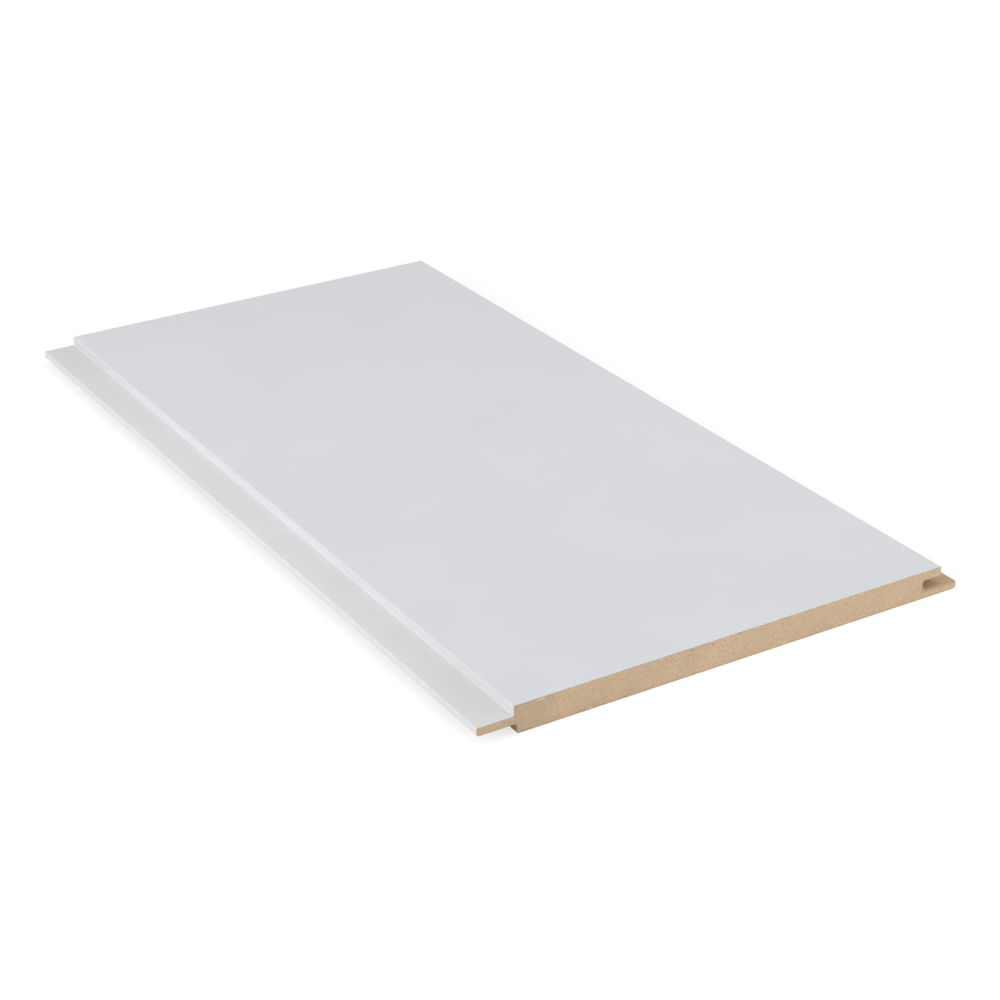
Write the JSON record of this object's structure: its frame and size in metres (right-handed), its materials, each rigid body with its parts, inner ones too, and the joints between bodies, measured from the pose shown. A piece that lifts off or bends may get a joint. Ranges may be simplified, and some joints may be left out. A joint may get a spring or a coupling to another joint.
{
  "type": "tongue and groove mdf wall panel",
  "caption": "Flat white-faced MDF lining panel with a tongue along one edge and a groove with a long lower lip along the other, joining like panels with a sunk line between them.",
  "frame": {"origin": "middle of the back face, in the plane that the panel lies on, halfway across its whole width and halfway along", "axes": "+X across the panel from the tongue to the groove, +Y along its length, +Z out of the painted face"},
  "size_m": [0.2216, 0.42, 0.012],
  "materials": {
    "painted_mdf": "satin white paint on the face, the step and the tongue; bare brown MDF on the sawn ends, in the groove, on the lower lip and on the back"
  },
  "bodies": {
    "root": {"tongue_and_groove_panel": "painted_mdf"}
  },
  "joints": []
}
